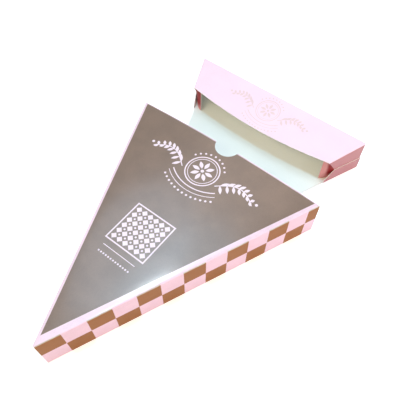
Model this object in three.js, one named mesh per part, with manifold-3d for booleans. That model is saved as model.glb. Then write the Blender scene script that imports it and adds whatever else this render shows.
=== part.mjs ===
import * as THREE from 'three';
import { mergeVertices } from 'three/addons/utils/BufferGeometryUtils.js';
import Module from 'manifold-3d';

// Box for one wedge of pizza, folded from two sheets of card: a wedge-shaped sleeve that is
// open at its wide end, and a tray with a raised hood for the crust that slides into it.
// Millimetres, +Z up. The wedge points along -Y and the tray is pulled out along +Y.

// Card
const CARD = 0.5;
const FOLD_RADIUS = 0.9;
const RUNNING_GAP = 0.3;
const BOND = 0.05;
const RELIEF_CUT = 0.6;

// Sleeve, outside
const SLEEVE_LENGTH = 185;
const SLEEVE_WIDTH = 159;
const SLEEVE_HEIGHT = 31.6;
const TIP_WIDTH = 1.4;
const MOUTH_CROWN = 3.2;
const NOTCH_WIDTH = 19;
const NOTCH_DEPTH = 8.4;
const SEAM_RADIUS = 0.15;
const GLUE_FLAP_WIDTH = 12;
const GLUE_FLAP_TIP_ROOM = 14;
const GLUE_FLAP_MOUTH_ROOM = 7;

// Tray, heights measured from the underside of its floor
const TRAY_PULL = 73.5;
const TRAY_TIP_RADIUS = 5;
const HOOD_DEPTH = 31.5;
const HOOD_BACK_HEIGHT = 28.6;
const HOOD_FRONT_HEIGHT = 24.8;
const HOOD_LIP_BOW = 4;
const HOOD_LIP_SAG = 2;
const FLAP_HEIGHT = 12.2;
const FLAP_NOSE_HEIGHT = 3.5;
const FLAP_NOSE_RUN = 7.3;
const CREASE_RUN = 14.9;
const WEB_TURN_IN = 5.1;
const WEB_SET_BACK = 1.6;
const WEB_BULGE = 1.2;

// Steps of the curved stretches
const FOLD_STEPS = 4;
const CROWN_STEPS = 20;
const LENGTH_STEPS = 12;
const HOOD_STEPS = 8;
const FLAP_STEPS = 4;
const GLUE_FLAP_STEPS = 3;
const TIP_FLAT_ANGLE = 0.25;
const NOTCH_STEPS = 64;

// Points nearer than this are one, and a fold takes at most this share of the half width
const WELD = 1e-5;
const FOLD_SHARE = 0.9;

// Colours and sheen of the two pieces
const SLEEVE_FINISH = { color: 0x7d6251, roughness: 0.38, metalness: 0 };
const TRAY_FINISH = { color: 0xf6ecf2, roughness: 0.5, metalness: 0 };

// Taper of the wedge, and the width that a wall takes up across it
const TIP_HALF = TIP_WIDTH / 2;
const TAPER = (SLEEVE_WIDTH / 2 - TIP_HALF) / SLEEVE_LENGTH;
const SIDE_ANGLE = Math.atan(TAPER);
const across = (thickness) => thickness / Math.cos(SIDE_ANGLE);
const wall = across(CARD);

// Boolean work on closed meshes
const manifold = await Module();
manifold.setup();

function solidOf(geometry) {
  const bare = geometry.clone();
  bare.deleteAttribute('normal');
  bare.deleteAttribute('uv');
  const merged = mergeVertices(bare, WELD);
  const vertProperties = Float32Array.from(merged.attributes.position.array);
  const triVerts = Uint32Array.from(merged.index.array);
  return new manifold.Manifold(new manifold.Mesh({ numProp: 3, vertProperties, triVerts }));
}

function geometryOf(solid) {
  const { vertProperties, triVerts } = solid.getMesh();
  const geometry = new THREE.BufferGeometry();
  geometry.setAttribute('position', new THREE.BufferAttribute(Float32Array.from(vertProperties), 3));
  geometry.setIndex(new THREE.BufferAttribute(Uint32Array.from(triVerts), 1));
  geometry.computeVertexNormals();
  return geometry;
}

function indexedGeometry(points, index) {
  const geometry = new THREE.BufferGeometry().setFromPoints(points);
  geometry.setIndex(index);
  return geometry;
}

function steps(from, to, count) {
  return Array.from({ length: count + 1 }, (_, i) => THREE.MathUtils.lerp(from, to, i / count));
}

// Solid skinned over rings that follow each other along +Y. Each ring runs counterclockwise
// as seen from the tip.
function loft(rings) {
  const count = rings[0].length;
  const last = (rings.length - 1) * count;
  const index = [];
  for (let start = 0; start < last; start += count) {
    for (let i = 0; i < count; i += 1) {
      const a = start + i;
      const b = start + (i + 1) % count;
      index.push(a, a + count, b + count, a, b + count, b);
    }
  }
  const outline = (ring) => ring.map((p) => new THREE.Vector2(p.x, p.z));
  for (const [a, b, c] of THREE.ShapeUtils.triangulateShape(outline(rings[0]), [])) {
    index.push(a, b, c);
  }
  for (const [a, b, c] of THREE.ShapeUtils.triangulateShape(outline(rings.at(-1)), [])) {
    index.push(last + a, last + c, last + b);
  }
  return indexedGeometry(rings.flat(), index);
}

// Sheet of card whose outer face is a grid of points, with null where the blank is cut away.
// Row direction times column direction points out of the outer face.
function cardSheet(grid, thickness = CARD) {
  const rows = grid.length;
  const columns = grid[0].length;
  const at = (r, c) => grid[r]?.[c] ?? null;
  const filled = (r, c) => [at(r, c), at(r + 1, c), at(r + 1, c + 1), at(r, c + 1)].every(Boolean);
  const faceNormal = (r, c) => {
    const down = new THREE.Vector3().subVectors(at(r + 1, c + 1), at(r, c));
    const over = new THREE.Vector3().subVectors(at(r, c + 1), at(r + 1, c));
    return down.cross(over).normalize();
  };
  const under = rows * columns;
  const points = Array.from({ length: 2 * under }, () => new THREE.Vector3());
  for (let r = 0; r < rows; r += 1) {
    for (let c = 0; c < columns; c += 1) {
      const cells = [[r, c], [r - 1, c], [r, c - 1], [r - 1, c - 1]].filter(([i, j]) => filled(i, j));
      if (cells.length > 0) {
        const normals = cells.map(([i, j]) => faceNormal(i, j));
        const mean = normals.reduce((sum, n) => sum.add(n), new THREE.Vector3()).normalize();
        const mitre = normals.reduce((sum, n) => sum + n.dot(mean), 0) / normals.length;
        points[r * columns + c].copy(at(r, c));
        points[under + r * columns + c].copy(at(r, c)).addScaledVector(mean, -thickness / mitre);
      }
    }
  }
  const index = [];
  const id = (r, c) => r * columns + c;
  const quad = (p, q, s, t) => index.push(p, q, s, p, s, t);
  const rim = (p, q) => quad(p, under + p, under + q, q);
  for (let r = 0; r < rows; r += 1) {
    for (let c = 0; c < columns; c += 1) {
      if (filled(r, c)) {
        const corners = [id(r, c), id(r + 1, c), id(r + 1, c + 1), id(r, c + 1)];
        quad(...corners);
        quad(...corners.map((corner) => under + corner).reverse());
        const neighbours = [[r, c - 1], [r + 1, c], [r, c + 1], [r - 1, c]];
        neighbours.forEach(([i, j], k) => {
          if (!filled(i, j)) {
            rim(corners[k], corners[(k + 1) % 4]);
          }
        });
      }
    }
  }
  return indexedGeometry(points, index);
}

// Points of a rounded fold, as an arc in a plane given by its two axes
function arc(centreA, centreB, radius, from, to) {
  return steps(from, to, FOLD_STEPS).map((angle) => [
    centreA + radius * Math.cos(angle),
    centreB + radius * Math.sin(angle),
  ]);
}

// Sleeve

function sleeveHalfWidth(y) {
  return TIP_HALF + TAPER * y;
}

// The top panel springs up between its side edges, most at the open end
function crownRise(x, y) {
  const half = sleeveHalfWidth(y);
  return MOUTH_CROWN * (y / SLEEVE_LENGTH) ** 2 * Math.max(0, 1 - (x / half) ** 2);
}

// Section of the sleeve's outer form, or of its hollow where inset is the card's thickness.
// The upper left edge is cut, and the other three are folded.
function sleeveRing(y, inset) {
  const half = sleeveHalfWidth(y) - across(inset);
  const fold = Math.min(FOLD_RADIUS - inset, half * FOLD_SHARE);
  const seam = Math.min(SEAM_RADIUS, half * FOLD_SHARE);
  const low = inset;
  const high = SLEEVE_HEIGHT - inset;
  const quarter = Math.PI / 2;
  const points = [
    ...arc(-half + fold, low + fold, fold, 2 * quarter, 3 * quarter),
    ...arc(half - fold, low + fold, fold, -quarter, 0),
    ...arc(half - fold, high - fold, fold, 0, quarter),
    ...steps(half - fold, -half + seam, CROWN_STEPS).slice(1, -1).map((x) => [x, high]),
    ...arc(-half + seam, high - seam, seam, quarter, 2 * quarter),
  ];
  return points.map(([x, z]) => {
    const rise = z > SLEEVE_HEIGHT / 2 ? crownRise(x, y) : 0;
    return new THREE.Vector3(x, y, z + rise);
  });
}

function sleeveShell() {
  const beyond = SLEEVE_LENGTH + CARD;
  const form = steps(0, SLEEVE_LENGTH, LENGTH_STEPS).map((y) => sleeveRing(y, 0));
  const hollow = steps(CARD, SLEEVE_LENGTH, LENGTH_STEPS).map((y) => sleeveRing(y, CARD));
  hollow.push(sleeveRing(beyond, CARD));
  return solidOf(loft(form)).subtract(solidOf(loft(hollow)));
}

// Strip of the left wall, folded in and bonded under the top panel
function glueFlap() {
  const start = GLUE_FLAP_TIP_ROOM + (GLUE_FLAP_WIDTH + wall) / (2 * TAPER);
  const end = SLEEVE_LENGTH - GLUE_FLAP_MOUTH_ROOM;
  const bite = CARD / 2;
  const top = SLEEVE_HEIGHT - CARD + bite;
  const widths = [-wall / 2, ...steps(0, GLUE_FLAP_WIDTH, GLUE_FLAP_STEPS).slice(1)];
  const grid = widths.map((width) => {
    const trim = Math.max(0, width);
    return steps(start + trim, end - trim, LENGTH_STEPS).map((y) => {
      const x = -sleeveHalfWidth(y) + wall + width;
      return new THREE.Vector3(x, y, top + crownRise(x, y));
    });
  });
  return solidOf(cardSheet(grid, CARD + bite));
}

// Round cut in the top panel's edge, for the thumb that grips the tray
function thumbNotch() {
  const radius = (NOTCH_WIDTH ** 2 / 4 + NOTCH_DEPTH ** 2) / (2 * NOTCH_DEPTH);
  const tall = SLEEVE_HEIGHT + MOUTH_CROWN;
  const cutter = new THREE.CylinderGeometry(radius, radius, tall, NOTCH_STEPS);
  cutter.rotateX(Math.PI / 2);
  cutter.translate(0, SLEEVE_LENGTH + radius - NOTCH_DEPTH, tall);
  return solidOf(cutter);
}

function sleeve() {
  const body = sleeveShell().add(glueFlap()).subtract(thumbNotch());
  const mesh = new THREE.Mesh(geometryOf(body), new THREE.MeshStandardMaterial(SLEEVE_FINISH));
  mesh.name = 'sleeve';
  return mesh;
}

// Tray, drawn where it lies when it is pushed home, with its back flush with the open end.
// It is one blank: floor, back wall and hood in a row, with side flaps on the floor and on the
// hood, and a web on the front edge of each of the hood's flaps.

const floorLow = CARD + RUNNING_GAP;
const backY = SLEEVE_LENGTH;
const hoodY = backY - HOOD_DEPTH;
const backTop = floorLow + HOOD_BACK_HEIGHT;
const frontTop = floorLow + HOOD_FRONT_HEIGHT;
const hoodSlope = Math.atan((backTop - frontTop) / HOOD_DEPTH);
const flapEnd = backY - FOLD_RADIUS * (1 + Math.sin(hoodSlope));
const flapLow = floorLow + CARD + RUNNING_GAP;

// Outer face of the lower side flaps, which run just inside the sleeve's walls
function trayHalfWidth(y) {
  return sleeveHalfWidth(y) - wall - across(RUNNING_GAP);
}

// Outer face of the upper side flaps, which are bonded inside the lower ones
function hoodHalfWidth(y) {
  return trayHalfWidth(y) - wall - across(BOND);
}

// Upper face of the hood: it slopes down to the front, and its front lip sags in the middle
function hoodTop(share, y) {
  const forward = (backY - y) / HOOD_DEPTH;
  return THREE.MathUtils.lerp(backTop, frontTop, forward) - HOOD_LIP_SAG * forward * (1 - share ** 2);
}

// Height of a lower side flap at a distance behind the hood's front, with its nose cut off
function flapTop(run) {
  const rise = THREE.MathUtils.clamp(run / FLAP_NOSE_RUN, 0, 1);
  return floorLow + THREE.MathUtils.lerp(FLAP_NOSE_HEIGHT, FLAP_HEIGHT, rise);
}

// Distance behind the hood's front of the slanting crease at the front of the upper flap
function creaseRun(z) {
  return CREASE_RUN * THREE.MathUtils.clamp((frontTop - z) / (frontTop - floorLow), 0, 1);
}

// Lines that run along the blank: the panel's own, with a fold and a flap beyond each side
function blankRows() {
  const bends = steps(0, Math.PI / 2, FOLD_STEPS).slice(1);
  const flaps = steps(0, 1, FLAP_STEPS).slice(1);
  const rightBends = bends.map((bend) => ({ side: 1, bend }));
  const rightFlaps = flaps.map((flap) => ({ side: 1, bend: Math.PI / 2, flap }));
  const right = [...rightBends, ...rightFlaps];
  const left = right.map((row) => ({ ...row, side: -1 }));
  return [...right.reverse(), ...steps(1, -1, CROWN_STEPS).map((panel) => ({ panel })), ...left];
}

// Floor at one station, with its side flaps where the hood stands over it
function floorColumn(y, half, hasFlaps) {
  return ({ panel, side, bend, flap = 0 }) => {
    if (panel !== undefined) {
      return new THREE.Vector3(panel * half, y, floorLow);
    }
    if (!hasFlaps) {
      return null;
    }
    const x = half + FOLD_RADIUS * Math.sin(bend);
    const foldZ = floorLow + FOLD_RADIUS * (1 - Math.cos(bend));
    return new THREE.Vector3(side * x, y, THREE.MathUtils.lerp(foldZ, flapTop(y - hoodY), flap));
  };
}

function floorColumns() {
  const edge = (y) => trayHalfWidth(y) - FOLD_RADIUS;
  const apex = backY - edge(backY) / TAPER;
  const centre = apex + TRAY_TIP_RADIUS / Math.sin(SIDE_ANGLE);
  const tip = steps(TIP_FLAT_ANGLE, Math.PI / 2 - SIDE_ANGLE, FOLD_STEPS).map((turn) => {
    const y = centre - TRAY_TIP_RADIUS * Math.cos(turn);
    return floorColumn(y, TRAY_TIP_RADIUS * Math.sin(turn), false);
  });
  const reach = centre - TRAY_TIP_RADIUS * Math.sin(SIDE_ANGLE);
  const open = steps(reach, hoodY - RELIEF_CUT, FLAP_STEPS).slice(1);
  const nose = steps(hoodY, hoodY + FLAP_NOSE_RUN, 2);
  const rest = steps(hoodY + FLAP_NOSE_RUN, backY - FOLD_RADIUS, FLAP_STEPS).slice(1);
  return [
    ...tip,
    ...open.map((y) => floorColumn(y, edge(y), false)),
    ...[...nose, ...rest].map((y) => floorColumn(y, edge(y), true)),
  ];
}

// Back wall with the folds that join it to the floor and to the hood
function wallColumns() {
  const foldY = backY - FOLD_RADIUS;
  const highZ = backTop - FOLD_RADIUS * (Math.tan(hoodSlope) + 1 / Math.cos(hoodSlope));
  const low = arc(foldY, floorLow + FOLD_RADIUS, FOLD_RADIUS, -Math.PI / 2, 0).slice(1);
  const high = arc(foldY, highZ, FOLD_RADIUS, 0, Math.PI / 2 + hoodSlope).slice(0, -1);
  const column = (half) => ([y, z]) => ({ panel }) => (
    panel === undefined ? null : new THREE.Vector3(panel * half, y, z)
  );
  return [
    ...low.map(column(trayHalfWidth(backY) - FOLD_RADIUS)),
    ...high.map(column(hoodHalfWidth(backY) - FOLD_RADIUS)),
  ];
}

// Hood with its side flaps, from the back wall to the bowed front lip and the slanting creases
function hoodColumns() {
  return steps(0, 1, HOOD_STEPS).map((forward) => ({ panel, side, bend, flap }) => {
    if (panel !== undefined) {
      const share = panel * (1 - FOLD_RADIUS / hoodHalfWidth(hoodY));
      const lip = hoodY - HOOD_LIP_BOW * (1 - share ** 2);
      const y = THREE.MathUtils.lerp(flapEnd, lip, forward);
      return new THREE.Vector3(panel * (hoodHalfWidth(y) - FOLD_RADIUS), y, hoodTop(share, y));
    }
    const drop = FOLD_RADIUS * (1 - Math.cos(bend));
    const frontZ = THREE.MathUtils.lerp(frontTop - drop, flapLow, flap ?? 0);
    const backZ = THREE.MathUtils.lerp(hoodTop(1, flapEnd) - drop, flapLow, flap ?? 0);
    const frontY = flap === undefined ? hoodY : hoodY + creaseRun(frontZ);
    const y = THREE.MathUtils.lerp(flapEnd, frontY, forward);
    const x = hoodHalfWidth(y) - FOLD_RADIUS * (1 - Math.sin(bend));
    return new THREE.Vector3(side * x, y, THREE.MathUtils.lerp(backZ, frontZ, forward));
  });
}

// Webs hinged on the slanting creases and turned in under the hood, twisting from the crease
// to an upright free edge
function webColumns() {
  const freeX = hoodHalfWidth(hoodY) - WEB_TURN_IN;
  const freeY = hoodY + WEB_SET_BACK;
  return steps(0, 1, FOLD_STEPS).slice(1).map((turn) => ({ side, bend, flap = 0 }) => {
    if (bend !== Math.PI / 2) {
      return null;
    }
    const z = THREE.MathUtils.lerp(frontTop - FOLD_RADIUS, flapLow, flap);
    const creaseY = hoodY + (flap > 0 ? creaseRun(z) : 0);
    const bulge = WEB_BULGE * flap * Math.sin(Math.PI * turn);
    const x = THREE.MathUtils.lerp(hoodHalfWidth(creaseY), freeX, turn);
    const y = THREE.MathUtils.lerp(creaseY, freeY, turn) - bulge;
    return new THREE.Vector3(side * x, y, z - RUNNING_GAP * turn * (1 - flap));
  });
}

function tray() {
  const columns = [...floorColumns(), ...wallColumns(), ...hoodColumns(), ...webColumns()];
  const grid = blankRows().map((row) => columns.map((column) => column(row)));
  const geometry = geometryOf(solidOf(cardSheet(grid)));
  const mesh = new THREE.Mesh(geometry, new THREE.MeshStandardMaterial(TRAY_FINISH));
  mesh.name = 'tray';
  mesh.position.y = TRAY_PULL;
  return mesh;
}

// The origin lies under the middle of the whole box, on the surface that it rests on
const box = new THREE.Group();
const contents = new THREE.Group();
contents.position.y = -(SLEEVE_LENGTH + TRAY_PULL) / 2;
contents.add(sleeve(), tray());
box.add(contents);
box.updateMatrixWorld(true);

export default box;
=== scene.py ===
import math

import bpy
from mathutils import Matrix, Vector


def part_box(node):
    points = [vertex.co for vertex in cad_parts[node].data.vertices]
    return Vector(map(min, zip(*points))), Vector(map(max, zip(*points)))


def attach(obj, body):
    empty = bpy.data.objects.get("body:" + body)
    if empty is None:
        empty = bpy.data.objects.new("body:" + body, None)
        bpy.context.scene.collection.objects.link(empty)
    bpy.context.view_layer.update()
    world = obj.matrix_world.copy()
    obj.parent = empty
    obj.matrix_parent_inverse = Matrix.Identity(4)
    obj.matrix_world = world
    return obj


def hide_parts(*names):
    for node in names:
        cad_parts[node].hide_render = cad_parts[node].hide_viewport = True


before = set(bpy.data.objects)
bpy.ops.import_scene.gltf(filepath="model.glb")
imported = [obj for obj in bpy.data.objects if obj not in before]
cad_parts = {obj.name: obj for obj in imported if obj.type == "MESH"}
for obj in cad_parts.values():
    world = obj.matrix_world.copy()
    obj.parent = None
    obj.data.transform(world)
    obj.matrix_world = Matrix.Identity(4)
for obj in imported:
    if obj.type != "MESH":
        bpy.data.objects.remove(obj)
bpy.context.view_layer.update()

# Scale: shapes are worked out in millimetres from the sleeve's tip, then put in the frame
MM = 0.001
SLEEVE_LOW, SLEEVE_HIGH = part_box("sleeve")
TRAY_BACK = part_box("tray")[1].y

# Card: thickness, folds, room between the pieces, and room for glue
CARD = 0.5
FOLD_RADIUS = 0.9
FOLD_SHARE = 0.9
MITRE_LIMIT = 0.5
SHARP_ANGLE = math.radians(38)
RUNNING_GAP = 0.3
BOND = 0.05
SEAM = 0.02

# Sleeve
LENGTH = (SLEEVE_HIGH.y - SLEEVE_LOW.y) / MM
WIDTH = (SLEEVE_HIGH.x - SLEEVE_LOW.x) / MM
HEIGHT = 31.6
TIP_HALF = 0.7
TOP_TIP_HALF = 0.05
MOUTH_CROWN = 3.2
PUFF = 0.2
PUFF_REACH = 4
NOTCH_WIDTH = 19
NOTCH_DEPTH = 8.4
NOTCH_CORNER = 0.9
NOTCH_CORNER_DROP = 0.12
NOTCH_SHOULDER = 0.25
NOTCH_ZONE = 13
GLUE_FLAP_WIDTH = 12
GLUE_FLAP_START = 26
GLUE_FLAP_END_ROOM = 4
GLUE_FLAP_END_SLANT = 0.5

# Unevenness of the sleeve's top panel: height, spans across and along of two swells, and its fade
PANEL_WAVE = 0.08
BROAD_SWELL = (17, 23)
BROAD_PHASE = 0.6
SLANT_SWELL = (9, 31)
SLANT_SHARE = 0.5
WAVE_FADE = 60

RIGHT, LEFT = 1, -1

# Tray, heights from the underside of its floor. Its left web is folded further in than the right one
TRAY_PULL = (TRAY_BACK - SLEEVE_HIGH.y) / MM
TIP_RADIUS = 5
TIP_FLAT_ANGLE = 0.12
HOOD_DEPTH = 31.5
HOOD_BACK_HEIGHT = 28.6
HOOD_FRONT_HEIGHT = 24.8
HOOD_LIP_BOW = 4
HOOD_LIP_SAG = 2
FLAP_HEIGHT = 12.2
FLAP_NOSE_HEIGHT = 3.5
FLAP_NOSE_RUN = 7.3
CREASE_RUN = 14.9
WEB_TURN_IN = {RIGHT: 5.1, LEFT: 6.2}
WEB_SET_BACK = 1.6
WEB_BULGE = {RIGHT: 1.2, LEFT: 3.2}
RELIEF_CUT = 0.6

# Print
SQUARE = 16
FIRST_COLUMN_SHIFT = 0.015
RIGHT_BORDER_TIP = 5.1
RIGHT_BORDER_MOUTH = 3.2
LEFT_BORDER = 1.7
BACK_BORDER = 0.7
EMBLEM_CENTRE = (-1, 156)
HOOD_EMBLEM_SCALE = 0.78
HOOD_EMBLEM_SHIFT = (-1, -1)
TILE_CENTRE = (-2.3, 93.4)
TILE_SIDE = 33
RULE_GAP = 7
INK_HEIGHT = 0.03
INK_DEPTH = 0.03
INK_SPAN = 3

# Steps of the curved stretches
FOLD_STEPS = 8
WALL_STEPS = 8
PANEL_STEPS = 28
NOTCH_STEPS = 28
NOTCH_ZONE_STEPS = 12
TIP_STATIONS = [0, 0.6, 1.3, 2.4, 3.8]
TIP_ZONE = 5
LENGTH_STEPS = 44
GLUE_STEPS = 4
PALE_FOLD_STEPS = 2
OPEN_FLOOR_STEPS = 24
NOSE_STEPS = 4
BACK_STEPS = 4
HOOD_STEPS = 16

TAPER = (WIDTH / 2 - TIP_HALF) / LENGTH
SIDE_ANGLE = math.atan(TAPER)
WALL = CARD / math.cos(SIDE_ANGLE)
GAP_ACROSS = RUNNING_GAP / math.cos(SIDE_ANGLE)

# Places of the materials in each folded sheet
OUTER, SIDE, INNER, CORE, UNDER, WEB = range(6)


def lerp(a, b, t):
    return a + (b - a) * t


def steps(low, high, count):
    return [lerp(low, high, i / count) for i in range(count + 1)]


def clamp(value):
    return min(1.0, max(0.0, value))


def srgb(red, green, blue):
    """A colour for the shaders, from screen values of 0 to 255."""

    def linear(value):
        share = value / 255
        return share / 12.92 if share <= 0.04045 else ((share + 0.055) / 1.055) ** 2.4

    return linear(red), linear(green), linear(blue), 1.0


def in_frame(x, y, z):
    """A point in the frame, from millimetres measured from the sleeve's tip."""
    return Vector((x * MM, SLEEVE_LOW.y + y * MM, z * MM))


# Folded sheets


def folded_sheet(name, grid, zone_of, body):
    """Card sheet whose outer face is a grid of points, with None where the blank is cut away.
    Row direction times column direction points out of the outer face."""
    rows, columns = len(grid), len(grid[0])

    def filled(r, c):
        if r < 0 or c < 0 or r + 1 >= rows or c + 1 >= columns:
            return False
        return None not in (grid[r][c], grid[r + 1][c], grid[r + 1][c + 1], grid[r][c + 1])

    cells = {(r, c) for r in range(rows - 1) for c in range(columns - 1) if filled(r, c)}
    normals = {}
    for r, c in cells:
        down = grid[r + 1][c + 1] - grid[r][c]
        over = grid[r][c + 1] - grid[r + 1][c]
        normals[r, c] = down.cross(over).normalized()
    ids, points = {}, []
    for r in range(rows):
        for c in range(columns):
            near = [normals[k] for k in ((r, c), (r - 1, c), (r, c - 1), (r - 1, c - 1)) if k in cells]
            if near:
                mean = sum(near, Vector()).normalized()
                mitre = max(MITRE_LIMIT, sum(n.dot(mean) for n in near) / len(near))
                ids[r, c] = len(points)
                points.append(grid[r][c])
                points.append(grid[r][c] - mean * (CARD / mitre))
    faces, zones = [], []
    for r, c in sorted(cells):
        corners = [ids[r, c], ids[r + 1, c], ids[r + 1, c + 1], ids[r, c + 1]]
        faces.append(corners)
        zones.append(zone_of(r, c))
        faces.append([corner + 1 for corner in reversed(corners)])
        zones.append(INNER)
        for k, beside in enumerate(((r, c - 1), (r + 1, c), (r, c + 1), (r - 1, c))):
            if beside not in cells:
                p, q = corners[k], corners[(k + 1) % 4]
                faces.append([p, p + 1, q + 1, q])
                zones.append(CORE)
    mesh = bpy.data.meshes.new(name)
    mesh.from_pydata([in_frame(*p) for p in points], [], faces)
    mesh.polygons.foreach_set("material_index", zones)
    return placed(name, mesh, body)


def placed(name, mesh, body):
    mesh.polygons.foreach_set("use_smooth", [True] * len(mesh.polygons))
    mesh.set_sharp_from_angle(angle=SHARP_ANGLE)
    mesh.update()
    piece = bpy.data.objects.new(name, mesh)
    bpy.context.scene.collection.objects.link(piece)
    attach(piece, body)
    return piece


# Sleeve


def sleeve_half(y):
    return TIP_HALF + TAPER * y


def fold_radius(y, wanted=FOLD_RADIUS):
    """Radius of a fold along the sleeve, smaller where the tip leaves less room."""
    return min(wanted, sleeve_half(y) * FOLD_SHARE)


def panel_wave(x, y):
    """Slight unevenness of a large card panel, none along its folds."""
    edge = clamp(1 - (x / sleeve_half(y)) ** 2)
    broad = math.sin(y / BROAD_SWELL[1] + BROAD_PHASE) * math.cos(x / BROAD_SWELL[0])
    slant = math.sin(x / SLANT_SWELL[0] + y / SLANT_SWELL[1])
    return PANEL_WAVE * edge * (broad + SLANT_SHARE * slant)


def top_height(x, y):
    """The top panel: crowned towards the open end, and rolling down into its side edges."""
    half = sleeve_half(y)
    crown = MOUTH_CROWN * (y / LENGTH) ** 2 * max(0, 1 - (x / half) ** 2)
    inward = max(0, half - abs(x)) * math.cos(SIDE_ANGLE)
    puff = PUFF * (1 - math.exp(-inward / PUFF_REACH))
    return HEIGHT + crown + puff + panel_wave(x, y) * clamp(y / WAVE_FADE)


def notch_edge():
    """Points of the top panel's open edge around the thumb notch, from left to right."""
    radius = (NOTCH_WIDTH ** 2 / 4 + NOTCH_DEPTH ** 2) / (2 * NOTCH_DEPTH)
    centre = LENGTH + radius - NOTCH_DEPTH
    sweep = math.asin(NOTCH_WIDTH / 2 / radius)
    angles = steps(-sweep, sweep, NOTCH_STEPS)
    bowl = [(radius * math.sin(a), centre - radius * math.cos(a)) for a in angles]
    outside = (-NOTCH_WIDTH / 2 - NOTCH_CORNER, LENGTH)
    shoulder = (-NOTCH_WIDTH / 2 - NOTCH_CORNER * NOTCH_SHOULDER, LENGTH - NOTCH_CORNER_DROP)
    lead = [outside, shoulder]
    trail = [(-x, y) for x, y in reversed(lead)]
    return lead + bowl[1:-1] + trail


def top_rows():
    """Rows of the top panel from its left cut edge to its right fold."""
    notch = notch_edge()
    reach = -notch[0][0]
    half = sleeve_half(LENGTH)
    outer = [lerp(-half, -reach, t) for t in steps(0, 1, PANEL_STEPS)][:-1]
    ends = [(x, LENGTH) for x in outer] + notch
    right = [lerp(reach, half - FOLD_RADIUS, t) for t in steps(0, 1, PANEL_STEPS)][1:]
    ends += [(x, LENGTH) for x in right]

    def row(end):
        def at(y):
            side = FOLD_RADIUS if end[0] > 0 else 0
            width = max(TOP_TIP_HALF, sleeve_half(y) - fold_radius(y, side))
            share = end[0] / (half - side)
            begin = LENGTH - NOTCH_ZONE
            if y <= begin:
                x = share * width
                return Vector((x, y, top_height(x, y)))
            t = (y - begin) / NOTCH_ZONE
            start = sleeve_half(begin) - side
            x, end_y = lerp(share * start, end[0], t), lerp(begin, end[1], t)
            return Vector((x, end_y, top_height(x, end_y)))

        return at

    return [row(end) for end in ends]


def fold_row(side, height, angle):
    """Row of a fold along the sleeve whose flat panel lies at a height: 0 for the bottom panel."""

    def at(y):
        radius = fold_radius(y)
        x = sleeve_half(y) - radius + radius * math.cos(angle)
        centre = height - radius if height else radius
        return Vector((side * x, y, centre + radius * math.sin(angle)))

    return at


def straight_row(side, z):
    return lambda y: Vector((side * sleeve_half(y), y, z))


def floor_row(share):
    def at(y):
        return Vector((share * (sleeve_half(y) - fold_radius(y)), y, 0))

    return at


def glue_row(share):
    """Row of the glue flap under the top panel, between its slanting ends."""
    start = GLUE_FLAP_START + share * GLUE_FLAP_WIDTH
    end = LENGTH - GLUE_FLAP_END_ROOM - share * GLUE_FLAP_WIDTH * GLUE_FLAP_END_SLANT

    def at(y):
        if y < start or y > end:
            return None
        x = -sleeve_half(y) + FOLD_RADIUS + share * GLUE_FLAP_WIDTH
        return Vector((x, y, top_height(x, y) - CARD - SEAM))

    return at


def make_sleeve():
    quarter = math.pi / 2
    wall_heights = steps(HEIGHT - FOLD_RADIUS, FOLD_RADIUS, WALL_STEPS)[1:-1]
    top = top_rows()
    rows = list(top)
    rows += [fold_row(RIGHT, HEIGHT, a) for a in steps(quarter, 0, FOLD_STEPS)[1:]]
    rows += [straight_row(RIGHT, z) for z in wall_heights]
    rows += [fold_row(RIGHT, 0, a) for a in steps(0, -quarter, FOLD_STEPS)]
    rows += [floor_row(share) for share in steps(1, -1, WALL_STEPS)[1:-1]]
    rows += [fold_row(LEFT, 0, a) for a in steps(-quarter, 0, FOLD_STEPS)]
    rows += [straight_row(LEFT, z) for z in reversed(wall_heights)]
    rows += [fold_row(LEFT, HEIGHT - CARD - SEAM, a) for a in steps(0, quarter, FOLD_STEPS)]
    rows += [glue_row(share) for share in steps(0, 1, GLUE_STEPS)[1:]]
    stations = TIP_STATIONS + steps(TIP_ZONE, LENGTH - NOTCH_ZONE, LENGTH_STEPS)
    stations += steps(LENGTH - NOTCH_ZONE, LENGTH, NOTCH_ZONE_STEPS)[1:]
    grid = [[row(y) for y in stations] for row in rows]
    last_top = len(top) - 1
    right_wall = last_top + PALE_FOLD_STEPS
    floor_start = last_top + FOLD_STEPS + len(wall_heights) + FOLD_STEPS // 2 + 1
    floor_end = floor_start + FOLD_STEPS + WALL_STEPS
    flap_start = len(rows) - 1 - GLUE_STEPS - FOLD_STEPS // 2

    def zone_of(r, c):
        if r < right_wall:
            return OUTER
        if r < floor_start:
            return SIDE
        if r < floor_end:
            return UNDER
        return SIDE if r < flap_start else UNDER

    return folded_sheet("printed_sleeve", grid, zone_of, "sleeve")


# Tray: its shape is worked out where it lies when pushed home

FLOOR_LOW = CARD + RUNNING_GAP
BACK_Y = LENGTH
HOOD_Y = BACK_Y - HOOD_DEPTH
BACK_TOP = FLOOR_LOW + HOOD_BACK_HEIGHT
FRONT_TOP = FLOOR_LOW + HOOD_FRONT_HEIGHT
HOOD_SLOPE = math.atan((BACK_TOP - FRONT_TOP) / HOOD_DEPTH)
FLAP_END = BACK_Y - FOLD_RADIUS * (1 + math.sin(HOOD_SLOPE))
FLAP_LOW = FLOOR_LOW + CARD + RUNNING_GAP


def tray_half(y):
    return sleeve_half(y) - WALL - GAP_ACROSS


def hood_half(y):
    return tray_half(y) - WALL - BOND / math.cos(SIDE_ANGLE)


def hood_top(share, y):
    forward = (BACK_Y - y) / HOOD_DEPTH
    return lerp(BACK_TOP, FRONT_TOP, forward) - HOOD_LIP_SAG * forward * (1 - share ** 2)


def flap_top(run):
    return FLOOR_LOW + lerp(FLAP_NOSE_HEIGHT, FLAP_HEIGHT, clamp(run / FLAP_NOSE_RUN))


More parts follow.
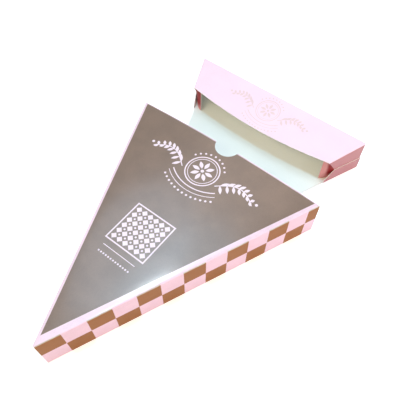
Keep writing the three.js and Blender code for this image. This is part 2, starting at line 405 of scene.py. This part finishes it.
def crease_run(z):
    return CREASE_RUN * clamp((FRONT_TOP - z) / (FRONT_TOP - FLOOR_LOW))


def blank_rows():
    bends = steps(0, math.pi / 2, FOLD_STEPS)[1:]
    flaps = steps(0, 1, WALL_STEPS)[1:]
    right = [("bend", RIGHT, bend, 0) for bend in bends]
    right += [("flap", RIGHT, math.pi / 2, flap) for flap in flaps]
    left = [(kind, LEFT, bend, flap) for kind, _, bend, flap in right]
    panel = [("panel", share, 0, 0) for share in steps(1, -1, 2 * PANEL_STEPS)]
    return right[::-1] + panel + left


def floor_column(y, half, has_flaps):
    def at(kind, side, bend, flap):
        if kind == "panel":
            return Vector((side * half, y + TRAY_PULL, FLOOR_LOW))
        if not has_flaps:
            return None
        fold_z = FLOOR_LOW + FOLD_RADIUS * (1 - math.cos(bend))
        z = lerp(fold_z, flap_top(y - HOOD_Y), flap)
        return Vector((side * (half + FOLD_RADIUS * math.sin(bend)), y + TRAY_PULL, z))

    return at


def floor_columns():
    def edge(y):
        return tray_half(y) - FOLD_RADIUS

    apex = BACK_Y - edge(BACK_Y) / TAPER
    centre = apex + TIP_RADIUS / math.sin(SIDE_ANGLE)
    tip = [
        floor_column(centre - TIP_RADIUS * math.cos(turn), TIP_RADIUS * math.sin(turn), False)
        for turn in steps(TIP_FLAT_ANGLE, math.pi / 2 - SIDE_ANGLE, FOLD_STEPS)
    ]
    reach = centre - TIP_RADIUS * math.sin(SIDE_ANGLE)
    open_part = steps(reach, HOOD_Y - RELIEF_CUT, OPEN_FLOOR_STEPS)[1:]
    nose = steps(HOOD_Y, HOOD_Y + FLAP_NOSE_RUN, NOSE_STEPS)
    rest = steps(HOOD_Y + FLAP_NOSE_RUN, BACK_Y - FOLD_RADIUS, WALL_STEPS)[1:]
    columns = tip + [floor_column(y, edge(y), False) for y in open_part]
    return columns + [floor_column(y, edge(y), True) for y in nose + rest]


def wall_columns():
    fold_y = BACK_Y - FOLD_RADIUS
    low_z = FLOOR_LOW + FOLD_RADIUS
    high_z = BACK_TOP - FOLD_RADIUS * (math.tan(HOOD_SLOPE) + 1 / math.cos(HOOD_SLOPE))

    def column(half, y, z):
        def at(kind, side, bend, flap):
            return Vector((side * half, y + TRAY_PULL, z)) if kind == "panel" else None

        return at

    def arc(centre_z, angles, half):
        return [
            column(half, fold_y + FOLD_RADIUS * math.cos(a), centre_z + FOLD_RADIUS * math.sin(a))
            for a in angles
        ]

    low_half = tray_half(BACK_Y) - FOLD_RADIUS
    high_half = hood_half(BACK_Y) - FOLD_RADIUS
    low = arc(low_z, steps(-math.pi / 2, 0, FOLD_STEPS)[1:], low_half)
    middle = [column(high_half, BACK_Y, z) for z in steps(low_z, high_z, BACK_STEPS)[1:-1]]
    high = arc(high_z, steps(0, math.pi / 2 + HOOD_SLOPE, FOLD_STEPS)[:-1], high_half)
    return low + middle + high


def hood_columns():
    def column(forward):
        def at(kind, side, bend, flap):
            if kind == "panel":
                share = side * (1 - FOLD_RADIUS / hood_half(HOOD_Y))
                lip = HOOD_Y - HOOD_LIP_BOW * (1 - share ** 2)
                y = lerp(FLAP_END, lip, forward)
                return Vector((side * (hood_half(y) - FOLD_RADIUS), y + TRAY_PULL, hood_top(share, y)))
            drop = FOLD_RADIUS * (1 - math.cos(bend))
            front_z = lerp(FRONT_TOP - drop, FLAP_LOW, flap)
            back_z = lerp(hood_top(1, FLAP_END) - drop, FLAP_LOW, flap)
            front_y = HOOD_Y + (crease_run(front_z) if kind == "flap" else 0)
            y = lerp(FLAP_END, front_y, forward)
            x = hood_half(y) - FOLD_RADIUS * (1 - math.sin(bend))
            return Vector((side * x, y + TRAY_PULL, lerp(back_z, front_z, forward)))

        return at

    return [column(forward) for forward in steps(0, 1, HOOD_STEPS)]


def web_columns():
    free_y = HOOD_Y + WEB_SET_BACK

    def column(turn):
        def at(kind, side, bend, flap):
            if bend != math.pi / 2:
                return None
            z = lerp(FRONT_TOP - FOLD_RADIUS, FLAP_LOW, flap)
            crease_y = HOOD_Y + (crease_run(z) if flap > 0 else 0)
            bulge = WEB_BULGE[side] * flap * math.sin(math.pi * turn)
            x = lerp(hood_half(crease_y), hood_half(HOOD_Y) - WEB_TURN_IN[side], turn)
            y = lerp(crease_y, free_y, turn) - bulge
            return Vector((side * x, y + TRAY_PULL, z - RUNNING_GAP * turn * (1 - flap)))

        return at

    return [column(turn) for turn in steps(0, 1, WALL_STEPS)[1:]]


def make_tray():
    rows = blank_rows()
    floor, wall, hood, web = floor_columns(), wall_columns(), hood_columns(), web_columns()
    columns = floor + wall + hood + web
    grid = [[column(*row) for column in columns] for row in rows]
    hood_start = len(floor) + len(wall) - 1
    web_start = len(floor) + len(wall) + len(hood) - 1

    def zone_of(r, c):
        is_flap = rows[r][0] == "flap" or rows[r + 1][0] == "flap"
        if c < len(floor) - 1:
            return SIDE if is_flap else UNDER
        if c >= web_start:
            return WEB
        if c >= hood_start:
            return SIDE if is_flap else OUTER
        return OUTER

    return folded_sheet("folded_tray", grid, zone_of, "tray")


# Line ornaments, printed as thin ink on a panel

FULL_TURN = 2 * math.pi
CIRCLE_STEPS = 48
ARC_STEPS = 40
BEAD_STEPS = 20
DOT_STEPS = 16
FINE_DOT_STEPS = 14
LEAF_STEPS = 6
STEM_STEPS = 30


class Ornament:
    """Strokes and filled shapes in a panel's plane, in millimetres round its centre."""

    def __init__(self):
        self.outlines = []

    def stroke(self, points, width, closed=False):
        ends = list(points) + [points[0]] * closed
        points = [ends[0]]
        for (x, y), (u, v) in zip(ends, ends[1:]):
            parts = max(1, math.ceil(math.hypot(u - x, v - y) / INK_SPAN))
            points += [(lerp(x, u, t), lerp(y, v, t)) for t in steps(0, 1, parts)[1:]]
        points = points[:-1] if closed else points
        count = len(points)
        left, right = [], []
        for i, (x, y) in enumerate(points):
            before = points[i - 1] if i or closed else points[0]
            after = points[(i + 1) % count] if i + 1 < count or closed else points[-1]
            direction = Vector((after[0] - before[0], after[1] - before[1]))
            direction = direction.normalized() if direction.length else Vector((1, 0))
            across = Vector((-direction.y, direction.x)) * width / 2
            left.append((x + across.x, y + across.y))
            right.append((x - across.x, y - across.y))
        last = count if closed else count - 1
        for i in range(last):
            j = (i + 1) % count
            self.outlines.append([right[i], right[j], left[j], left[i]])

    def circle(self, x, y, radius, width=None, count=CIRCLE_STEPS, start=0.0, sweep=FULL_TURN):
        angles = steps(start, start + sweep, count)
        ring = [(x + radius * math.cos(a), y + radius * math.sin(a)) for a in angles]
        if width is None:
            self.outlines.append(ring[:-1])
        else:
            closed = sweep >= FULL_TURN
            self.stroke(ring[:-1] if closed else ring, width, closed)

    def dot(self, x, y, radius, count=DOT_STEPS):
        self.circle(x, y, radius, count=count)

    def leaf(self, x, y, angle, length, width):
        """Filled lens shape from one point along an angle."""
        side = [(t * length, width / 2 * math.sin(math.pi * t)) for t in steps(0, 1, LEAF_STEPS)]
        outline = side[::-1][:-1] + [(u, -v) for u, v in side][:-1]
        cos, sin = math.cos(angle), math.sin(angle)
        turned = [(x + u * cos - v * sin, y + u * sin + v * cos) for u, v in reversed(outline)]
        self.outlines.append(turned)

    def make(self, name, centre, scale, surface, body):
        """Closed flakes of ink that follow the panel."""
        points, faces = [], []
        for outline in self.outlines:
            base, count = len(points), len(outline)
            for lift in (INK_HEIGHT, -INK_DEPTH):
                for u, v in outline:
                    x, y = centre[0] + u * scale, centre[1] + v * scale
                    points.append(in_frame(x, y, surface(x, y) + lift))
            faces.append([base + i for i in range(count)])
            faces.append([base + count + i for i in reversed(range(count))])
            for i in range(count):
                j = (i + 1) % count
                faces.append([base + i, base + count + i, base + count + j, base + j])
        mesh = bpy.data.meshes.new(name)
        mesh.from_pydata(points, [], faces)
        return placed(name, mesh, body)


def polar(radius, angle, centre_y):
    return radius * math.cos(angle), centre_y + radius * math.sin(angle)


def rosette(art):
    """Eight petals round a bead, in a double ring under an arch of dots."""
    middle, rings, bead = 1, ((12.5, 0.9), (10.6, 0.5)), 1.3
    petals, petal_start, petal_length, petal_width = 8, 2.2, 6.6, 2.9
    arch_radius, arch_pitch, arch_side_dots, arch_dot = 15.8, math.radians(14), 4, 0.8
    for radius, width in rings:
        art.circle(0, middle, radius, width)
    for i in range(petals):
        angle = i * FULL_TURN / petals
        art.leaf(*polar(petal_start, angle, middle), angle, petal_length, petal_width)
    art.dot(0, middle, bead, BEAD_STEPS)
    for k in range(-arch_side_dots, arch_side_dots + 1):
        art.dot(*polar(arch_radius, math.pi / 2 + k * arch_pitch, middle), arch_dot)


def spray(art, side):
    """Wavy stem with seven pairs of leaves that get smaller, and a bud past its end."""
    start, end, low, swing, swing_turn = 14.5, 44, -4, 9, 0.9 * math.pi
    stem_width, leaf_pairs, leaf_spacing, lean = 0.7, 7, 4, math.radians(52)
    leaf_length, leaf_shrink, leaf_width = 7.6, 0.55, 2.3
    bud_gap, bud_height, bud = 2.3, 1.5, 1.1
    shares = steps(0, 1, STEM_STEPS)
    spine = [(side * lerp(start, end, t), low + swing * math.sin(swing_turn * t)) for t in shares]
    art.stroke(spine if side > 0 else spine[::-1], stem_width)
    for k in range(1, leaf_pairs + 1):
        x, y = spine[leaf_spacing * k - 1]
        for turn in (-lean, lean):
            angle = turn if side > 0 else math.pi - turn
            art.leaf(x, y, angle, leaf_length - leaf_shrink * k, leaf_width)
    art.dot(side * (end + bud_gap), bud_height, bud, BEAD_STEPS)


def swag(art):
    """Two hanging arcs over a hanging row of dots."""
    start, sweep = math.radians(232), math.radians(76)
    arcs = ((15, 30, 0.8), (14.6, 33, 0.5))
    for middle, radius, width in arcs:
        art.circle(0, middle, radius, width, ARC_STEPS, start, sweep)
    dot_ring, dot_middle, dot_pitch, dot_radius = 36.6, 14.6, math.radians(5.6), 0.85
    side_dots, lowest = 6, math.radians(270)
    for k in range(-side_dots, side_dots + 1):
        art.dot(*polar(dot_ring, lowest + k * dot_pitch, dot_middle), dot_radius)


def emblem():
    """Rosette between two leafy sprays, over a swag."""
    art = Ornament()
    rosette(art)
    for side in (LEFT, RIGHT):
        spray(art, side)
    swag(art)
    return art


def tile():
    """Square of diamonds and dots in a plain frame."""
    frame_width, clear, count, diamond_share, dot_share = 1.0, 0.7, 6, 0.47, 0.15
    art = Ornament()
    half = TILE_SIDE / 2
    inset = half - frame_width / 2
    for side in (LEFT, RIGHT):
        art.stroke([(-half, side * inset), (half, side * inset)], frame_width)
        art.stroke([(side * inset, frame_width - half), (side * inset, half - frame_width)], frame_width)
    pitch = (TILE_SIDE - 2 * (frame_width + clear)) / count
    reach = pitch * diamond_share
    for i in range(count):
        for j in range(count):
            x, y = (i - (count - 1) / 2) * pitch, (j - (count - 1) / 2) * pitch
            art.outlines.append([(x - reach, y), (x, y - reach), (x + reach, y), (x, y + reach)])
            if i and j:
                art.dot(x - pitch / 2, y - pitch / 2, pitch * dot_share)
    return art


def dotted_rule():
    """Fine rule over a row of dots."""
    half, lift, rule_width = 13.5, 2.6, 0.5
    side_dots, dot_pitch, dot_radius = 6, 2.1, 0.65
    art = Ornament()
    art.stroke([(-half, lift), (half, lift)], rule_width)
    for k in range(-side_dots, side_dots + 1):
        art.dot(k * dot_pitch, -lift, dot_radius, FINE_DOT_STEPS)
    return art


def hood_surface(x, y):
    local = y - TRAY_PULL
    return hood_top(x / hood_half(local), local)


# Materials

DARK_TONE = 0.5
FIBRE_SCALE = 2.3
FIBRE_DETAIL = 4
FIBRE_STRETCH = (1, 0.35, 1)
FIBRE_RANGE = (0.35, 0.75)
CLOUD_SCALE = 0.07
CLOUD_RANGE = (0.3, 0.7)
ROUGH_SPREAD = 0.16
BUMP_STRENGTH = 0.5


class Finish:
    """A printed or bare card material, with its node-building shorthand. Lengths are in mm."""

    def __init__(self, name, roughness, coat=0.0, coat_roughness=0.3, specular=0.5):
        self.material = bpy.data.materials.new(name)
        self.material.use_nodes = True
        self.tree = self.material.node_tree
        self.shader = self.tree.nodes["Principled BSDF"]
        self.roughness = roughness
        self.shader.inputs["Specular IOR Level"].default_value = specular
        self.shader.inputs["Coat Weight"].default_value = coat
        self.shader.inputs["Coat Roughness"].default_value = coat_roughness
        place = self.node("ShaderNodeTexCoord")
        shift = self.node("ShaderNodeVectorMath", operation="SUBTRACT")
        self.link(place.outputs["Object"], shift.inputs[0])
        shift.inputs[1].default_value = (0, SLEEVE_LOW.y, 0)
        scale = self.node("ShaderNodeVectorMath", operation="SCALE")
        self.link(shift.outputs[0], scale.inputs[0])
        scale.inputs["Scale"].default_value = 1 / MM
        self.place = scale.outputs[0]
        split = self.node("ShaderNodeSeparateXYZ")
        self.link(self.place, split.inputs[0])
        self.x, self.y, self.z = split.outputs

    def node(self, kind, **settings):
        made = self.tree.nodes.new(kind)
        for key, value in settings.items():
            setattr(made, key, value)
        return made

    def link(self, source, target):
        if hasattr(source, "is_output"):
            self.tree.links.new(source, target)
        else:
            target.default_value = source

    def math(self, operation, first, second=0.0, third=0.0):
        made = self.node("ShaderNodeMath", operation=operation)
        for value, target in zip((first, second, third), made.inputs):
            self.link(value, target)
        return made.outputs[0]

    def ramp(self, value, low, high):
        """0 under low and 1 over high, smooth between."""
        made = self.node("ShaderNodeMapRange", interpolation_type="SMOOTHSTEP")
        self.link(value, made.inputs["Value"])
        self.link(low, made.inputs["From Min"])
        self.link(high, made.inputs["From Max"])
        return made.outputs["Result"]

    def noise(self, scale, detail=3.0, stretch=(1, 1, 1)):
        mapping = self.node("ShaderNodeMapping")
        self.link(self.place, mapping.inputs["Vector"])
        mapping.inputs["Scale"].default_value = stretch
        made = self.node("ShaderNodeTexNoise")
        self.link(mapping.outputs[0], made.inputs["Vector"])
        made.inputs["Scale"].default_value = scale
        made.inputs["Detail"].default_value = detail
        return made.outputs["Fac"]

    def mix(self, share, first, second):
        made = self.node("ShaderNodeMix", data_type="RGBA")
        self.link(share, made.inputs["Factor"])
        self.link(first, made.inputs["A"])
        self.link(second, made.inputs["B"])
        return made.outputs["Result"]

    def toned(self, colour, pattern, span, amount):
        """The colour taken darker by an amount where a pattern is high."""
        made = self.node("ShaderNodeMix", data_type="RGBA", blend_type="MULTIPLY")
        share = self.math("MULTIPLY", self.ramp(pattern, *span), amount / DARK_TONE)
        self.link(share, made.inputs["Factor"])
        self.link(colour, made.inputs["A"])
        made.inputs["B"].default_value = (DARK_TONE, DARK_TONE, DARK_TONE, 1)
        return made.outputs["Result"]

    def done(self, colour, grain=0.05, mottle=0.04, bump=0.03):
        """Fibre grain, soft mottle and a fine bump on the colour."""
        fibres = self.noise(FIBRE_SCALE, FIBRE_DETAIL, FIBRE_STRETCH)
        clouds = self.noise(CLOUD_SCALE)
        toned = self.toned(colour, fibres, FIBRE_RANGE, grain)
        toned = self.toned(toned, clouds, CLOUD_RANGE, mottle)
        self.link(toned, self.shader.inputs["Base Color"])
        rough = self.math("MULTIPLY_ADD", clouds, ROUGH_SPREAD, self.roughness - ROUGH_SPREAD / 2)
        self.link(rough, self.shader.inputs["Roughness"])
        relief = self.node("ShaderNodeBump")
        relief.inputs["Strength"].default_value = BUMP_STRENGTH
        relief.inputs["Distance"].default_value = bump * MM
        self.link(fibres, relief.inputs["Height"])
        self.link(relief.outputs[0], self.shader.inputs["Normal"])
        return self.material


PALE_PINK = srgb(247, 217, 241)
CHECK_PINK = srgb(252, 213, 238)
CHECK_BROWN = srgb(166, 108, 69)
FIELD_BROWN = srgb(132, 109, 100)
FIELD_SPECK = srgb(156, 138, 126)
# Pale colour of the upper fold: partly wear, partly a painted highlight
WORN_AND_SHEEN = srgb(214, 210, 204)
DEEP_PINK = srgb(193, 123, 135)
ROSE = srgb(226, 152, 156)
# Painted shade for the webs' creases
CREASE_SHADE_RED = srgb(150, 30, 38)
BARE_WHITE = srgb(252, 252, 250)
CORE_WHITE = srgb(251, 248, 248)
CORE_SHADE = srgb(236, 226, 226)
INK_PINK = srgb(243, 224, 243)
FAINT_INK = srgb(233, 202, 214)


def top_print():
    """Brown field inside a pale border, on the sleeve's top panel."""
    wander_scale, wander_reach, print_edge = 0.9, 0.1, 0.14
    speck_scale, speck_detail, speck_range, speck_share = 5.5, 2, (0.62, 0.75), 0.2
    f = Finish("top_print", roughness=0.38, coat=1.0, coat_roughness=0.15)
    wander = f.math("MULTIPLY", f.noise(wander_scale), wander_reach)
    half = f.math("MULTIPLY_ADD", f.y, TAPER, TIP_HALF)
    cos = math.cos(SIDE_ANGLE)
    widening = (RIGHT_BORDER_MOUTH - RIGHT_BORDER_TIP) / LENGTH
    border = f.math("MULTIPLY_ADD", f.y, widening, RIGHT_BORDER_TIP)
    right = f.math("SUBTRACT", f.math("MULTIPLY", f.math("SUBTRACT", half, f.x), cos), border)
    left = f.math("SUBTRACT", f.math("MULTIPLY", f.math("ADD", half, f.x), cos), LEFT_BORDER)
    back = f.math("SUBTRACT", LENGTH - BACK_BORDER, f.y)
    inside = f.math("MINIMUM", f.math("MINIMUM", right, left), back)
    field = f.ramp(f.math("ADD", inside, wander), 0, print_edge)
    specks = f.ramp(f.noise(speck_scale, speck_detail), *speck_range)
    brown = f.mix(f.math("MULTIPLY", specks, speck_share), FIELD_BROWN, FIELD_SPECK)
    return f.done(f.mix(field, PALE_PINK, brown), grain=0.08, mottle=0.12)


def check_print():
    """Two rows of squares round the sleeve's walls, the brown ones pale in the upper fold: partly wear,
    partly a painted highlight where the rounded fold catches light.
    """
    rows, wobble_scale, wobble_reach = 2, 0.6, 0.012
    rub_scale, rub_stretch, rub_range, rub_share = 0.45, (1, 0.3, 2), (0.35, 0.65), 0.35
    wear_sheen_low, wear_sheen_high = HEIGHT - 0.8, HEIGHT - 0.25
    f = Finish("check_print", roughness=0.5, specular=0.2)
    along = f.math("MULTIPLY_ADD", f.y, 1 / (SQUARE * math.cos(SIDE_ANGLE)), FIRST_COLUMN_SHIFT)
    level = f.math("MULTIPLY", f.z, rows / HEIGHT)
    wobble = f.math("MULTIPLY_ADD", f.noise(wobble_scale), wobble_reach, -wobble_reach / 2)
    column = f.math("FLOOR", f.math("ADD", along, wobble))
    row = f.math("FLOOR", f.math("ADD", level, wobble))
    odd = f.math("MODULO", f.math("ADD", column, row), 2)
    rub = f.ramp(f.noise(rub_scale, stretch=rub_stretch), *rub_range)
    rubbed = f.math("MULTIPLY_ADD", rub, rub_share, 1 - rub_share)
    # Upper fold band: wear and a painted highlight, broken up by the rub pattern
    worn_and_sheen = f.math("MULTIPLY", f.ramp(f.z, wear_sheen_low, wear_sheen_high), rubbed)
    brown = f.mix(worn_and_sheen, CHECK_BROWN, WORN_AND_SHEEN)
    return f.done(f.mix(odd, CHECK_PINK, brown), grain=0.06, mottle=0.05)


def plain_print(name, colour):
    """Satin print or ink in one colour."""
    f = Finish(name, roughness=0.42, coat=0.15)
    return f.done(colour, grain=0.035, mottle=0.03)


def web_rose_and_shade():
    """Rose print of the tray's webs, with painted shade: deep red towards their slanting creases and
    over most of the left web, but not at the foot.
    """
    rose_end, red_start, left_shift = 2.8, 5.2, 5.0
    foot_low, foot_high = 2, 9
    f = Finish("web_rose_and_shade", roughness=0.5, specular=0.3)
    free_edge = hood_half(HOOD_Y) - WEB_TURN_IN[RIGHT]
    outward = f.math("SUBTRACT", f.math("ABSOLUTE", f.x), free_edge)
    left = f.math("LESS_THAN", f.x, 0)
    # Painted shade: deep red near the creases, reaching further out on the left web, fading out at the
    # foot
    crease_shade = f.ramp(f.math("MULTIPLY_ADD", left, left_shift, outward), rose_end, red_start)
    red = f.math("MULTIPLY", crease_shade, f.ramp(f.z, foot_low, foot_high))
    return f.done(f.mix(red, ROSE, CREASE_SHADE_RED), grain=0.07, mottle=0.06)


def bare_card():
    """Unprinted white inside of the card."""
    f = Finish("bare_card", roughness=0.62, specular=0.35)
    return f.done(BARE_WHITE, grain=0.02, mottle=0.02, bump=0.05)


def core_edge():
    """Cut edge of the card: pale layers of fibre."""
    layer_scale, layer_detail, layer_stretch, layer_range = 3, 4, (0.3, 0.3, 3), (0.4, 0.6)
    f = Finish("core_edge", roughness=0.75, specular=0.25)
    layers = f.ramp(f.noise(layer_scale, layer_detail, layer_stretch), *layer_range)
    return f.done(f.mix(layers, CORE_WHITE, CORE_SHADE), grain=0.05, bump=0.06)


def dress(piece, slot, *materials):
    for material in materials:
        piece.data.materials.append(material)


bare = bare_card()
core = core_edge()
pale = plain_print("pale_print", PALE_PINK)

sleeve = make_sleeve()
under = plain_print("under_print", CHECK_PINK)
dress(sleeve, "sleeve_card", top_print(), check_print(), bare, core, under)
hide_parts("sleeve")

tray = make_tray()
flap = plain_print("flap_print", DEEP_PINK)
dress(tray, "tray_card", pale, flap, bare, core, pale, web_rose_and_shade())
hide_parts("tray")

ink = plain_print("pink_ink", INK_PINK)
faint = plain_print("faint_ink", FAINT_INK)
RULE_CENTRE = (TILE_CENTRE[0], TILE_CENTRE[1] - TILE_SIDE / 2 - RULE_GAP)
for name, art, centre in (
    ("sleeve_emblem", emblem(), EMBLEM_CENTRE),
    ("sleeve_tile", tile(), TILE_CENTRE),
    ("sleeve_rule", dotted_rule(), RULE_CENTRE),
):
    dress(art.make(name, centre, 1, top_height, "sleeve"), "sleeve_card", ink)
HOOD_MIDDLE = (HOOD_Y + BACK_Y) / 2 + TRAY_PULL
HOOD_EMBLEM_CENTRE = (HOOD_EMBLEM_SHIFT[0], HOOD_MIDDLE + HOOD_EMBLEM_SHIFT[1])
hood_emblem = emblem().make("hood_emblem", HOOD_EMBLEM_CENTRE, HOOD_EMBLEM_SCALE, hood_surface, "tray")
dress(hood_emblem, "tray_card", faint)


# Floor, light and camera

FLOOR_SIZE = 6
FLOOR_DROP = 0.00005
FLOOR_ROUGHNESS = 0.9
FLOOR_COLOUR = (0.93, 0.92, 0.9, 1)
SEEN_FLOOR_COLOUR = (1, 1, 1, 1)
SEEN_FLOOR_GLOW = 0.36
GLOW_COLOUR = (0.86, 0.92, 1, 1)


def make_floor():
    """Pale floor a hair below the box, so that their faces don't share a plane. The camera sees
    it lighter than the light that bounces off it does."""
    bpy.ops.mesh.primitive_plane_add(size=FLOOR_SIZE, location=(0, 0, -FLOOR_DROP))
    floor = bpy.context.object
    floor.name = "floor"
    material = bpy.data.materials.new("floor_white")
    material.use_nodes = True
    tree = material.node_tree
    shader = tree.nodes["Principled BSDF"]
    shader.inputs["Roughness"].default_value = FLOOR_ROUGHNESS
    shader.inputs["Specular IOR Level"].default_value = 0
    path = tree.nodes.new("ShaderNodeLightPath")
    mix = tree.nodes.new("ShaderNodeMix")
    mix.data_type = "RGBA"
    mix.inputs["A"].default_value = FLOOR_COLOUR
    mix.inputs["B"].default_value = SEEN_FLOOR_COLOUR
    tree.links.new(path.outputs["Is Camera Ray"], mix.inputs["Factor"])
    tree.links.new(mix.outputs["Result"], shader.inputs["Base Color"])
    glow = tree.nodes.new("ShaderNodeMath")
    glow.operation = "MULTIPLY"
    glow.inputs[1].default_value = SEEN_FLOOR_GLOW
    tree.links.new(path.outputs["Is Camera Ray"], glow.inputs[0])
    shader.inputs["Emission Color"].default_value = GLOW_COLOUR
    tree.links.new(glow.outputs[0], shader.inputs["Emission Strength"])
    floor.data.materials.append(material)


WORLD_COLOUR = (1.0, 0.88, 0.68, 1)
WORLD_STRENGTH = 0.52

# Each lamp: direction it shines from, distance, width, power, colour, and the place it faces
BOX_MIDDLE = (0.02, -0.04, 0.03)
RIGHT_MIDDLE = (0.06, 0.03, 0.02)
LAMPS = {
    "overhead": ((-0.12, 0.0, 0.99), 1.3, 0.12, 4.8, (0.22, 0.66, 0.98), BOX_MIDDLE),
    "key": ((-0.19, 0.26, 0.945), 1.3, 0.46, 1.3, (0.38, 0.74, 1.0), BOX_MIDDLE),
    "far_key": ((-0.42, 0.24, 0.88), 1.3, 0.5, 1.55, (0.54, 0.78, 1.0), BOX_MIDDLE),
    "back": ((-0.3, 0.75, 1.0), 1.3, 0.6, 0.75, (1.0, 0.8, 0.68), BOX_MIDDLE),
    "streak": ((-0.225, 0.2, 0.95), 1.3, 0.1, 1.2, (0.8, 0.93, 1.0), BOX_MIDDLE),
    "front": ((-0.02, -0.68, 0.73), 1.4, 0.9, 8.6, (1.0, 0.88, 0.56), BOX_MIDDLE),
    "side": ((0.8, 0.25, 0.55), 0.5, 0.4, 0.9, (0.97, 0.97, 1.0), RIGHT_MIDDLE),
}


def make_lamp(name, direction, distance, width, power, colour, target):
    data = bpy.data.lights.new(name, "AREA")
    data.shape = "DISK"
    data.size = width
    data.energy = power
    data.color = colour
    lamp = bpy.data.objects.new(name, data)
    bpy.context.scene.collection.objects.link(lamp)
    lamp.location = Vector(target) + Vector(direction).normalized() * distance
    lamp.rotation_mode = "QUATERNION"
    lamp.rotation_quaternion = Vector(direction).to_track_quat("Z", "Y")


def make_light():
    """Warm light all round and from the front, cool light from above and behind."""
    world = bpy.data.worlds.new("studio")
    bpy.context.scene.world = world
    world.use_nodes = True
    background = world.node_tree.nodes["Background"]
    background.inputs["Color"].default_value = WORLD_COLOUR
    background.inputs["Strength"].default_value = WORLD_STRENGTH
    for name, setting in LAMPS.items():
        make_lamp(name, *setting)


# The photograph's camera, worked out from its perspective: frame and focal length in pixels, and
# its place in millimetres from the sleeve's tip
FRAME_PIXELS = 416
FOCAL_PIXELS = 474.8
SENSOR_WIDTH = 36
CLIP_START = 0.01
CAMERA_PLACE = (124.6, -6.6, 301.7)
CAMERA_RIGHT = (0.7911, 0.6114, 0.0174)
CAMERA_FORWARD = (-0.3233, 0.4421, -0.8367)


def make_camera():
    data = bpy.data.cameras.new("camera")
    data.sensor_width = SENSOR_WIDTH
    data.lens = FOCAL_PIXELS / FRAME_PIXELS * SENSOR_WIDTH
    data.clip_start = CLIP_START
    camera = bpy.data.objects.new("camera", data)
    bpy.context.scene.collection.objects.link(camera)
    right = Vector(CAMERA_RIGHT).normalized()
    back = -Vector(CAMERA_FORWARD).normalized()
    up = back.cross(right).normalized()
    turn = Matrix((right, up, back)).transposed()
    camera.matrix_world = Matrix.Translation(in_frame(*CAMERA_PLACE)) @ turn.to_4x4()
    bpy.context.scene.camera = camera


make_floor()
make_light()
make_camera()
bpy.context.scene.view_settings.view_transform = "Standard"
